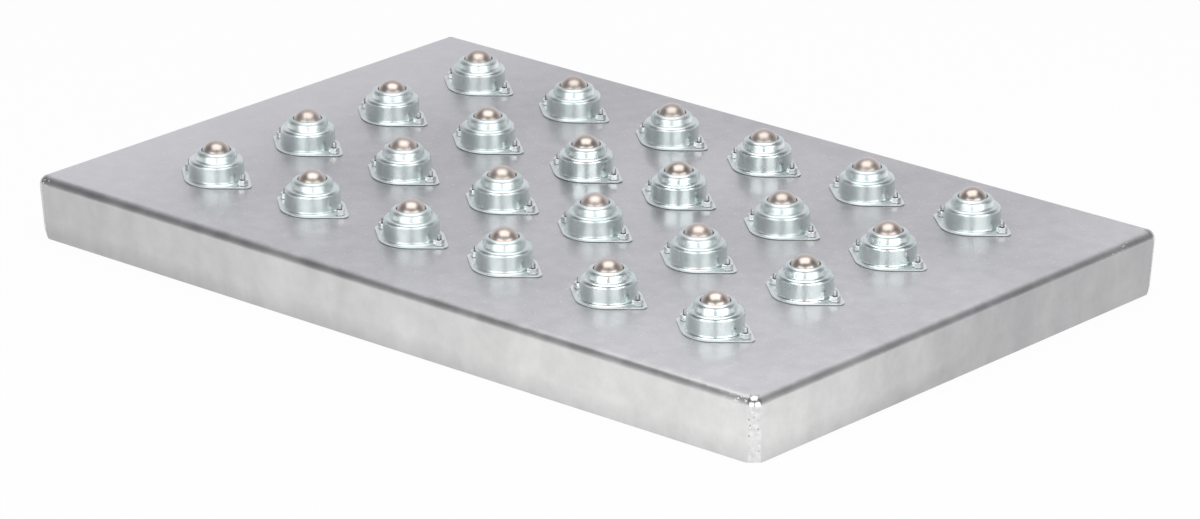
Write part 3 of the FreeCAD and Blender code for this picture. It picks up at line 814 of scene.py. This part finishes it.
def nut_grid(turns, around=48):
    """Rings of every nut, turned by its own angle: up the hexagon's side and down again through the bore."""
    angle = np.linspace(0, 2 * math.pi, around, endpoint=False)
    hexagon = NUT_HALF_FLATS / np.cos((angle + math.pi / 6) % (math.pi / 3) - math.pi / 6)
    edge = np.array([0, NUT_EDGE / 2, NUT_EDGE])
    outside = np.concatenate([NUT_SEAT + edge, NUT_TOP - edge[::-1]])
    heights = np.concatenate([outside, [NUT_TOP, NUT_SEAT]])
    from_face = np.minimum(outside - NUT_SEAT, NUT_TOP - outside)[:, None]
    cone = NUT_HALF_FLATS + (NUT_CORNER - NUT_HALF_FLATS) * np.clip(from_face / NUT_EDGE, 0, 1)
    side = np.minimum(hexagon, cone)
    radius = np.concatenate([side, np.full((2, around), NUT_BORE)])
    facing = angle + turns[:, None, None]
    height = np.broadcast_to(heights[:, None], (len(turns), len(heights), around))
    return np.stack([radius * np.cos(facing), radius * np.sin(facing), height], axis=-1)


nut_turns = np.random.default_rng(NUT_TURN_SEED).normal(NUT_TURN, NUT_TURN_SPREAD, len(SCREW_PLACES))
nut_rings = nut_grid(nut_turns) + SCREW_PLACES[:, None, None, :]
nuts = ring_piece("hexagon_nuts", nut_rings, NUT_METAL, wrap=True, crease=20.0)
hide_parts("nuts")
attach(nuts, "platform")
print("nuts", len(SCREW_PLACES), "with", len(nuts.data.polygons), "faces")

# %% [markdown]
# ## Corner welds
# The four corners are closed by a weld that was ground nearly flush. What is left is a bright strip with dark
# pinholes, polished where the bead ends on the round corner of the deck. Height decides where the polish
# starts, so one finish does for the whole strip. The front right weld is the brightest.

# %% Weld finish
POLISH_DEPTH = 6.0 * MM
POLISHED_ROUGHNESS = 0.22
PINHOLE_TONE = colour(0.10, 0.10, 0.12)


def weld_finish(name, dark, light):
    """Ground weld metal: smears, dark pinholes, and mirror-like close to the deck."""
    weld = Finish(name)
    height = weld.parts(weld.where)[2]
    polish = weld.remap(height, TRAY_TOP - 1.3 * POLISH_DEPTH, TRAY_TOP - POLISH_DEPTH)
    smears = weld.remap(weld.noise(260.0, 3.0), 0.35, 0.65)
    pits = weld.remap(weld.noise(430.0, 1.0), 0.69, 0.73)
    pits = weld.times(pits, weld.minus(1.0, polish))
    pits = weld.times(pits, weld.remap(height, CLIP_HEIGHT, 1.5 * CLIP_HEIGHT))
    bright = weld.mix(smears, dark, light)
    weld.set(Base_Color=weld.mix(pits, bright, PINHOLE_TONE))
    satin = weld.remap(smears, 0.0, 1.0, 0.30, 0.45)
    weld.set(Roughness=weld.blend(polish, satin, POLISHED_ROUGHNESS))
    weld.set(Normal=weld.bump(weld.noise(300.0, 3.0), 0.10 * MM))
    return weld.material


BRIGHT_WELD = weld_finish("ground_weld", colour(0.70, 0.70, 0.70), colour(0.84, 0.84, 0.84))
DULL_WELD = weld_finish("dull_weld", colour(0.56, 0.56, 0.565), colour(0.70, 0.70, 0.70))
print("made", BRIGHT_WELD.name, DULL_WELD.name)

# %% [markdown]
# ## Places on the corner
# The weld follows the tray's own corner: the same arcs as before, only with one length that runs round the
# corner and one that runs up it. With this formula a strip can be drawn flat and laid on the corner. At the
# foot the grinder took off a little more, so the points there move back to a sloping cut.

# %% Corner formula
STRIP_SIDE = -1.2 * MM
STRIP_SPREAD = 4.5 * MM
STRIP_SINK = 0.5 * MM
ARC_HALF = CORNER_RADIUS * math.pi / 4
BEND_TURN = math.pi / 2 + SKIRT_LEAN
SKIRT_RUN = (TRAY_TOP - BEND_RADIUS + BEND_RADIUS * math.cos(BEND_TURN)) / math.cos(SKIRT_LEAN)
STRIP_TOP = SKIRT_RUN + BEND_RADIUS * BEND_TURN
WELD_LIMIT = np.array(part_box("corner_welds")[1][:2])


def corner_skin(across, up):
    """A point of the tray's corner at +X and +Y.

    Both lengths are in metres along the sheet. Across runs round the corner, an arc between two flats; up runs
    from the foot along the leaning skirt and the bend's arc. The outward direction comes with the point.
    """
    bend = np.clip((up - SKIRT_RUN) / (BEND_RADIUS * BEND_TURN), 0, 1) * BEND_TURN
    angle = BEND_TURN - bend
    below = np.clip(SKIRT_RUN - up, 0, None)
    bend_inset, bend_height = bend_profile(BEND_RADIUS, angle)
    inset, height = bend_inset + below * math.sin(SKIRT_LEAN), bend_height - below * math.cos(SKIRT_LEAN)
    radius = np.maximum(CORNER_RADIUS - bend_inset, TIGHTEST_CORNER)
    turn = np.clip(across / ARC_HALF, -1, 1) * math.pi / 4 + math.pi / 4
    spill = np.sign(across) * np.clip(np.abs(across) - ARC_HALF, 0, None)
    out = np.stack([np.cos(turn), np.sin(turn)], axis=-1)
    side = np.stack([-out[..., 1], out[..., 0]], axis=-1)
    middle = np.stack([TRAY_HALF[0] - inset - radius, TRAY_HALF[1] - inset - radius], axis=-1)
    level = middle + out * radius[..., None] + side * spill[..., None]
    outward = np.concatenate([out * np.sin(angle)[..., None], np.cos(angle)[..., None]], axis=-1)
    return np.concatenate([level, height[..., None]], axis=-1), outward


def ground_back(points, proud):
    """Points of the foot, moved back along the corner's diagonal until they stand proud of the sloping cut."""
    cut = CLIP_DEPTH * (1 - points[..., 2] / CLIP_HEIGHT) - proud
    short = np.clip(cut - behind_foot_corner(points[..., :2]), 0, None)
    back = np.where(points[..., 2] < CLIP_HEIGHT, short, 0.0)
    return points - back[..., None] * np.array([1, 1, 0]) / math.sqrt(2)


print("weld strip", round(2 * (ARC_HALF + STRIP_SIDE) / MM, 1), "mm wide and", round(STRIP_TOP / MM, 1), "long")

# %% [markdown]
# ## The welds
# The strip is pushed outwards by a height that ripples and dips, and it widens where it runs over the bend. Its
# sides are ragged, because a hand held the torch. Seeded draws give the same dents on each run. The strip's
# lower side lies inside the sheet, so each weld is closed.

# %% Weld shape
PIT_SEED = 5
PIT_COUNT = 24
PIT_DEPTH = 0.35 * MM
PIT_SIZES = np.array([[0.3, 0.16], [1.1, 0.34]]) * MM
CROWN_HEIGHT, RIPPLE_HEIGHT = 0.16 * MM, 0.04 * MM
RAGGEDNESS = 0.22 * MM
PROUD_OF_CUT = 0.2 * MM
STRIP_ROWS, STRIP_COLUMNS = 150, 41


def weld_height(across, up, half, draw):
    """How far the weld stands proud: a low crown with ripples, and short dents at drawn places."""
    crown = CROWN_HEIGHT * np.clip(1 - (across / half) ** 2, 0, None)
    ripple = RIPPLE_HEIGHT * np.sin(up / (1.9 * MM) + 1.3 * np.cos(across / (1.4 * MM)))
    places = draw.uniform([-ARC_HALF, 3 * MM], [ARC_HALF, SKIRT_RUN - 2 * MM], (PIT_COUNT, 2))
    size = draw.uniform(*PIT_SIZES, (PIT_COUNT, 2))
    gap = (np.stack([across, up], axis=-1)[..., None, :] - places) / size
    dents = np.exp(-(gap**2).sum(axis=-1)).max(axis=-1)
    return crown + ripple * (1 - np.abs(across / half)) - PIT_DEPTH * dents


def weld_grid(draw):
    """Rings of one weld: over the corner on the outside, with a ragged side, then back below the skin."""
    ragged = draw.normal(0.0, RAGGEDNESS, (2, STRIP_ROWS))[..., None]
    rows = np.linspace(0.2 * MM, STRIP_TOP - 0.3 * MM, STRIP_ROWS)
    share, up = np.meshgrid(np.linspace(-1, 1, STRIP_COLUMNS), rows)
    spread = STRIP_SPREAD * np.clip((up - SKIRT_RUN) / (STRIP_TOP - SKIRT_RUN), 0, 1)
    half = ARC_HALF + STRIP_SIDE + spread + np.where(share < 0, *ragged)
    across = share * half
    point, outward = corner_skin(across, up)
    outer = ground_back(point + outward * weld_height(across, up, half, draw)[..., None], PROUD_OF_CUT)
    outer[..., :2] = np.minimum(outer[..., :2], WELD_LIMIT)
    inner = ground_back(point - outward * STRIP_SINK, -STRIP_SINK)[:, ::-1]
    return np.concatenate([outer, inner], axis=1)


draw = np.random.default_rng(PIT_SEED)
CORNERS = {"front_right": (1, -1), "front_left": (-1, -1), "back_right": (1, 1), "back_left": (-1, 1)}
for corner, signs in CORNERS.items():
    metal = BRIGHT_WELD if corner == "front_right" else DULL_WELD
    bead = ring_piece(f"weld_{corner}", (weld_grid(draw) * [*signs, 1])[None], metal, crease=60.0)
    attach(bead, "platform")
    if corner == "front_right":
        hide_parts("corner_welds")
print("weld", len(bead.data.polygons), "faces each")

# %% [markdown]
# ## Weld spatter
# Welding throws off drops that freeze on the bends beside the corners. Each drop is a small ball, half sunk in
# the sheet. Their places are drawn at random from a fixed seed: how far from the corner, how far round the bend
# and how big.

# %% Spatter
DROP_SEED = 11


def drops_on_bend(draw, count, reach, size, long_side):
    """Middles and radii of drops on the bend of the long or the short side, near the corner at +X and +Y."""
    along = draw.uniform(*reach, count)
    inset, height = bend_profile(BEND_RADIUS, draw.uniform(0.35, 0.85, count) * BEND_TURN)
    from_end, from_side = (along, inset) if long_side else (inset, along)
    middles = np.stack([TRAY_HALF[0] - from_end, TRAY_HALF[1] - from_side, height], axis=1)
    return middles, draw.uniform(*size, count)


def spatter_grid(groups):
    """All drops as small balls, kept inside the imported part's sides."""
    draw = np.random.default_rng(DROP_SEED)
    drop = ball_grid(1.0, rings=5, around=10)
    copies = []
    for corner, count, reach, size, long_side in groups:
        places, radii = drops_on_bend(draw, count, np.array(reach) * MM, np.array(size) * MM, long_side)
        places = places * [*CORNERS[corner], 1]
        copies.append(places[:, None, None, :] + radii[:, None, None, None] * drop)
    points = np.concatenate(copies)
    points[..., :2] = np.clip(points[..., :2], -WELD_LIMIT, WELD_LIMIT)
    return points


# Corner, number of drops, how far from the corner and how big in millimetres, on the long side or not
DROPS = [("front_right", 16, (9.0, 26.0), (0.3, 0.8), True),
         ("front_right", 9, (26.0, 70.0), (0.25, 0.45), True),
         ("front_left", 6, (6.0, 14.0), (0.35, 0.6), True),
         ("back_right", 7, (8.0, 60.0), (0.3, 0.45), False)]
spatter = ring_piece("weld_spatter", spatter_grid(DROPS), BRIGHT_WELD, crease=60.0)
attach(spatter, "platform")
print("drops", sum(group[1] for group in DROPS))

# %% [markdown]
# ## Floor
# The platform stands on a plain pale floor that keeps its shadow. Part of the floor's white is its own light,
# which only the camera and mirrored rays see, so the floor is white in the picture and in the metal but sends
# no more light to the object.

# %% Floor
FLOOR_OWN_WHITE = 0.95
FLOOR_HALF = 9.0
FLOOR_DROP = 0.2 * MM
PAPER_TONES = colour(0.90, 0.90, 0.90), colour(0.93, 0.93, 0.93)


def floor_finish():
    """Pale matt paper, mixed with white of its own for rays from the camera, mirrors and glass."""
    floor = Finish("pale_floor", metal=0.0)
    floor.set(Base_Color=floor.mix(floor.noise(40.0, 2.0), *PAPER_TONES), Roughness=0.9)
    path = floor.add("LightPath").outputs
    seen = floor.plus(path["Is Camera Ray"], path["Is Glossy Ray"])
    seen = floor.calculate("MINIMUM", floor.plus(seen, path["Is Transmission Ray"]), 1.0)
    glow = floor.add("Emission", None, {"Color": colour(1, 1, 1), "Strength": 1.0}).outputs[0]
    share = floor.times(seen, FLOOR_OWN_WHITE)
    both = floor.add("MixShader", None, {0: share, 1: floor.shader.outputs[0], 2: glow}).outputs[0]
    floor.feed(floor.tree.nodes["Material Output"].inputs["Surface"], both)
    return floor.material


floor_corners = [(x * FLOOR_HALF, y * FLOOR_HALF, -FLOOR_DROP) for x, y in ((-1, -1), (1, -1), (1, 1), (-1, 1))]
floor_mesh = bpy.data.meshes.new("floor")
floor_mesh.from_pydata(floor_corners, [], [(0, 1, 2, 3)])
floor_mesh.materials.append(floor_finish())
floor = bpy.data.objects.new("floor", floor_mesh)
bpy.context.scene.collection.objects.link(floor)
print("floor", 2 * FLOOR_HALF, "m wide")

# %% [markdown]
# ## Surroundings
# Metal shows what stands round it, so the surroundings matter more than the lamps: a pale wall behind, which
# the deck mirrors, and dim sides, which the bends mirror as dark bands. The sides are lighter near the horizon.
# The world is worked out from the direction of a ray, so it needs no picture, and the bench for finishes can
# write its nodes too.

# %% World
WALL_BEHIND = Vector((-0.60, 0.80, 0.0)).normalized()
WALL_FADE = {"From Min": 0.18, "From Max": 0.85}
HORIZON, DIM_ABOVE = 0.12, 0.5
SIDE_TONE = colour(0.17, 0.175, 0.185)
LOW_SIDE_TONE = colour(0.37, 0.365, 0.375)
WALL_TONE = colour(0.74, 0.735, 0.775)


class Surroundings(Finish):
    """A world whose patterns read the direction of a ray."""

    def __init__(self, name):
        self.world = bpy.data.worlds.new(name)
        self.world.use_nodes = True
        self.tree = self.world.node_tree
        self.where = self.add("TexCoord").outputs["Generated"]


studio = Surroundings("studio")
toward = studio.add("VectorMath", {"operation": "DOT_PRODUCT"}, {0: studio.where, 1: WALL_BEHIND})
near_wall = {"Value": toward.outputs["Value"], **WALL_FADE}
fade = studio.add("MapRange", {"interpolation_type": "SMOOTHSTEP"}, near_wall)
climb = studio.remap(studio.parts(studio.where)[2], HORIZON, DIM_ABOVE)
tone = studio.mix(fade.outputs[0], studio.mix(climb, LOW_SIDE_TONE, SIDE_TONE), WALL_TONE)
studio.feed(studio.tree.nodes["Background"].inputs["Color"], tone)
bpy.context.scene.world = studio.world
print("made", studio.world.name)

# %% [markdown]
# ## Softboxes
# Studio softboxes are area lamps. Their brightness is set as what a mirror would show, and the power follows
# from that and their area, so a lamp can grow without getting brighter in a reflection. Two tall ones stand on
# the left and right of the camera and reach down to the floor: the deck mirrors them, every housing mirrors
# the deck, and so each wall gets its two pale stripes. A large one hangs overhead and lights the balls.

# %% Softboxes
def softbox(name, place, aim, width, height, glow):
    """Area lamp at a place, turned to a point, whose power is glow times pi times its area."""
    data = bpy.data.lights.new(name, "AREA")
    data.shape = "RECTANGLE"
    data.size, data.size_y = width, height
    data.energy = glow * math.pi * width * height
    lamp = bpy.data.objects.new(name, data)
    lamp.location = place
    lamp.rotation_euler = (Vector(aim) - Vector(place)).to_track_quat("-Z", "Y").to_euler()
    lamp.visible_camera = False
    bpy.context.scene.collection.objects.link(lamp)
    return lamp


def around_object(azimuth, elevation, distance):
    """A place at two angles round the object, in degrees, measured as the camera's are."""
    turn, rise = math.radians(azimuth), math.radians(elevation)
    return distance * camera_axes(turn, rise)[2]


def lamp_reach(half_angle):
    """Size of a side lamp that spans an angle on both sides of its middle, seen from the object."""
    return 2 * LAMP_DISTANCE * math.tan(math.radians(half_angle))


LAMP_DISTANCE = 2.4
LAMP_ELEVATION, LAMP_HALF_HEIGHT = 16.0, 17.0
LAMP_AIM = (0, 0, 0.05)
SIDE_GLOW, OVERHEAD_GLOW = 1.85, 1.68
OVERHEAD_PLACE, OVERHEAD_AIM = (0.19, -0.21, 2.2), (0.19, -0.21, 0)
OVERHEAD_SIZE = 2.6, 2.1
overhead = softbox("overhead", OVERHEAD_PLACE, OVERHEAD_AIM, *OVERHEAD_SIZE, OVERHEAD_GLOW)
overhead.rotation_euler.z = VIEW_AZIMUTH
for name, offset, half_width in (("left_of_camera", -31.0, 23.3), ("right_of_camera", 34.5, 26.5)):
    lamp_place = around_object(math.degrees(VIEW_AZIMUTH) + offset, LAMP_ELEVATION, LAMP_DISTANCE)
    softbox(name, lamp_place, LAMP_AIM, lamp_reach(half_width), lamp_reach(LAMP_HALF_HEIGHT), SIDE_GLOW)

# %% Finish
bpy.context.scene.view_settings.view_transform = "Standard"
